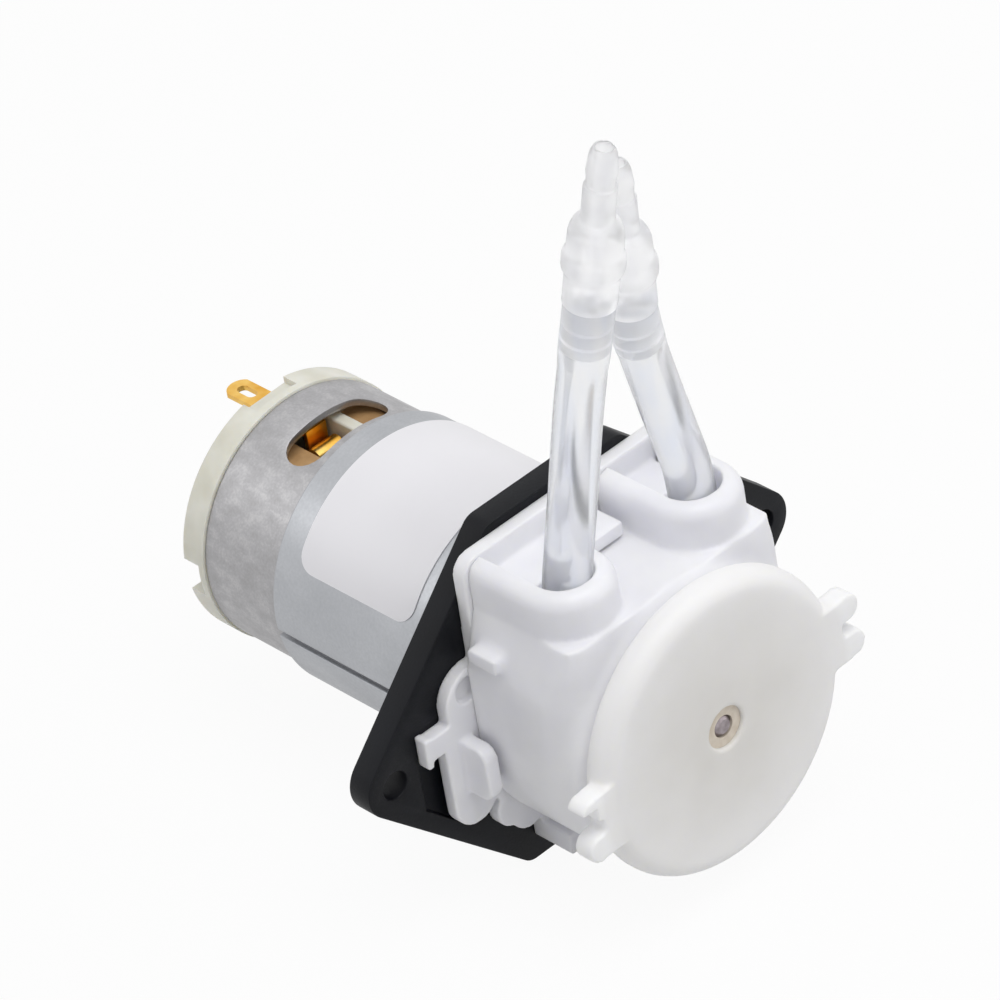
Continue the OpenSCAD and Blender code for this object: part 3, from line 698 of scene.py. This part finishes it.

# Painted light and shade in the cover's colour: how far it has turned to its lighter edge colour at each
# radius, darker round the centre hole.
painted_light_r = 20
painted_light_stops = ((4, 0), (14, 0.5), (16, 0.6), (17, 1))


def soften(piece, rounds, group=""):
    """Smooths the piece's faces, everywhere or as far as its group of vertices says."""
    smooth = piece.modifiers.new("soften", "SMOOTH")
    smooth.factor = soften_factor
    smooth.iterations = rounds
    smooth.vertex_group = group


def moulded_copy(name, node, voxel_mm, rounds, soft=None, cuts=(), adds=()):
    """A copy of a CAD node with the soft edges of a moulding. cuts and adds are blocks, as
    two corners in mm, to take out or grow on. soft(x, y, z) in mm says where it is softer."""
    piece = add_object(name, nodes[node].data.copy())
    bm = bmesh.new()
    bm.from_mesh(piece.data)
    for low, high in adds:
        bm.from_mesh(block_mesh("grown", low, high))
    bmesh.ops.remove_doubles(bm, verts=bm.verts, dist=weld)
    bm.to_mesh(piece.data)
    bm.free()
    cutters = [add_object("cutter", block_mesh("cutter", low, high)) for low, high in cuts]
    for cutter in cutters:
        cut_away(piece, cutter)
    skin = piece.modifiers.new("skin", "REMESH")
    skin.mode = "VOXEL"
    skin.voxel_size = voxel_mm * MM
    soften(piece, rounds)
    settle(piece)
    for cutter in cutters:
        bpy.data.objects.remove(cutter)
    if soft:
        region = piece.vertex_groups.new(name="soft")
        for v in piece.data.vertices:
            weight = soft(*(v.co / MM))
            if weight > 0:
                region.add([v.index], weight, "REPLACE")
        soften(piece, melt_rounds, "soft")
    thin = piece.modifiers.new("thin", "DECIMATE")
    thin.ratio = kept_share
    settle(piece)
    piece.vertex_groups.clear()
    piece.data.polygons.foreach_set("use_smooth", [True] * len(piece.data.polygons))
    stand_for(piece, node)
    return piece


def tower_softness(x, y, z):
    """The walls below the ports run into the drum without an edge. The ports' collars
    above, the edge at the flange and the lugs on the side walls keep theirs."""
    return fade(z, 15.2, 13.4) * fade(y, -5.5, -7.5) * fade(abs(x), 15.75, 15.6)


head_base = moulded_copy("moulded_head_base", "head_base", 0.18, 4, adds=foot_bars)
head_housing = moulded_copy("moulded_head_housing", "head_housing", 0.2, 12,
                            soft=tower_softness)
front_cover = moulded_copy("moulded_front_cover", "front_cover", 0.2, 10,
                           cuts=[ear_notch])


def acetal_finish(name, low, high, roughness, painted_rim_light=None):
    """Acetal between two tones. rim, if given, is the colour of painted light that they turn to towards the
    edge of a disc, leaving painted shade at its centre.
    """
    material, surface = new_material(name)
    colour = add_node(material, "ShaderNodeValToRGB", {"Fac": grain(material, 6)},
                      stops=((0.3, low), (0.7, high)))
    # Painted light and shade: the colour is darker near the disc's axis and lighter towards its edge.
    if painted_rim_light:
        place = add_node(material, "ShaderNodeTexCoord").outputs["Object"]
        flat = add_node(material, "ShaderNodeVectorMath", {0: place, 1: (1, 0, 1)}, operation="MULTIPLY")
        out = add_node(material, "ShaderNodeVectorMath", {0: flat}, operation="LENGTH")
        share = add_node(material, "ShaderNodeMath", {0: out.outputs["Value"], 1: 1 / (painted_light_r * MM)},
                         operation="MULTIPLY")
        painted_light_share = add_node(material, "ShaderNodeValToRGB", {"Fac": share},
                           stops=tuple((r / painted_light_r, amount) for r, amount in painted_light_stops))
        # 6 and 7 are this node's colour inputs, and 2 is its colour output.
        blend = add_node(material, "ShaderNodeMix", {"Factor": painted_light_share, 6: colour, 7: hex_linear(painted_rim_light)},
                         data_type="RGBA")
        colour = blend.outputs[2]
    set_inputs(surface, {
        "IOR": 1.48, "Roughness": roughness,
        "Subsurface Weight": 0.6, "Subsurface Radius": (1.0, 1.0, 1.15), "Subsurface Scale": 1.4 * MM,
        "Base Color": colour,
        "Normal": add_node(material, "ShaderNodeBump",
                           {"Height": grain(material, 0.3), "Strength": 0.08, "Distance": 0.05 * MM})})
    return material


# Natural acetal, moulded: white and faintly translucent, with a cold lavender shade
# in thin walls and a satin surface. The cover is another batch, warmer, and its colour
# holds painted shade round the centre hole and painted light towards its thin rim and ears.
make_of(acetal_finish("moulded white acetal", "#e9e9ee", "#f0f0f4", 0.4), head_base, head_housing)
make_of(acetal_finish("moulded off-white acetal", "#e0deda", "#e6e4e1", 0.5, painted_rim_light="#fcfcfe"), front_cover)


# Bush, roller cage and rollers
# A tan nylon bush in the cover's centre hole guides the front end of the shaft.
# Behind it two acetal discs, joined by pillars, carry three nylon rollers on steel
# pins.

# Unfilled nylon and acetal, moulded or turned: plain, satin and faintly clouded.
for material, names in (
        (plain_finish("moulded tan nylon", "#cfc3b2", "#dcd2c4", grain_mm=1, roughness=0.45),
         ("front_bush",)),
        (plain_finish("moulded cage acetal", "#d6d6cf", "#e4e4de", grain_mm=3, roughness=0.4),
         ("cage_rear", "cage_front")),
        (plain_finish("turned roller nylon", "#d9d6ca", "#e9e7dc", grain_mm=2, roughness=0.35),
         ("roller_1", "roller_2", "roller_3"))):
    make_of(material, *(nodes[name] for name in names))


# Floor and light
# A plain pale table under three soft boxes, with white all round. The eye sees the
# table and the room near white, and the table keeps the pump's shadow.
floor_size = 6
floor_z = cad_box[0][2]
floor_glow = 0.94
floor_glow_mirrored = 0.6
room_light = 0.46
room_seen = 1.0
lamps = (  # name, place and width in metres, and watts
    ("key_light", (0, -0.25, 0.75), 0.5, 3.1),
    ("fill_light", (0.6, -0.5, 0.35), 0.6, 0.9),
    ("back_light", (-0.45, 0.5, 0.47), 0.4, 0.38))

bpy.ops.mesh.primitive_plane_add(size=floor_size, location=(0, 0, floor_z))
floor = bpy.context.object
floor.name = "floor"
floor_paint, surface = new_material("white table")
set_inputs(surface, {"Base Color": hex_linear("#e0e0e0"), "Roughness": 0.9})
ray = add_node(floor_paint, "ShaderNodeLightPath").outputs
seen = add_node(floor_paint, "ShaderNodeMath", {
    0: ray["Is Camera Ray"], 1: ray["Is Transmission Ray"]}, operation="MAXIMUM")
seen_glow = add_node(floor_paint, "ShaderNodeMath", {0: seen, 1: floor_glow}, operation="MULTIPLY")
mirrored_glow = add_node(floor_paint, "ShaderNodeMath", {
    0: ray["Is Glossy Ray"], 1: floor_glow_mirrored}, operation="MULTIPLY")
glow_share = add_node(floor_paint, "ShaderNodeMath", {0: seen_glow, 1: mirrored_glow}, operation="MAXIMUM")
glow = add_node(floor_paint, "ShaderNodeEmission", {"Color": (1, 1, 1, 1), "Strength": 1.0})
set_inputs(floor_paint.node_tree.nodes["Material Output"], {
    "Surface": add_node(floor_paint, "ShaderNodeMixShader", {0: glow_share, 1: surface, 2: glow})})
make_of(floor_paint, floor)

world = bpy.data.worlds.new("studio")
world.use_nodes = True
bpy.context.scene.world = world
ray = add_node(world, "ShaderNodeLightPath").outputs
bent = add_node(world, "ShaderNodeMath", {
    0: ray["Is Glossy Ray"], 1: ray["Is Transmission Ray"]}, operation="MAXIMUM")
seen = add_node(world, "ShaderNodeMath", {0: ray["Is Camera Ray"], 1: bent}, operation="MAXIMUM")
set_inputs(world.node_tree.nodes["Background"], {
    "Color": (1, 1, 1, 1),
    "Strength": add_node(world, "ShaderNodeMapRange",
                         {"Value": seen, "To Min": room_light, "To Max": room_seen})})

for name, place, size, watts in lamps:
    lamp = bpy.data.lights.new(name, "AREA")
    lamp.shape = "SQUARE"
    lamp.size = size
    lamp.energy = watts
    soft_box = add_object(name, lamp)
    soft_box.location = place
    soft_box.rotation_euler = (-Vector(place)).to_track_quat("-Z", "Y").to_euler()

bpy.context.scene.view_settings.view_transform = "Standard"
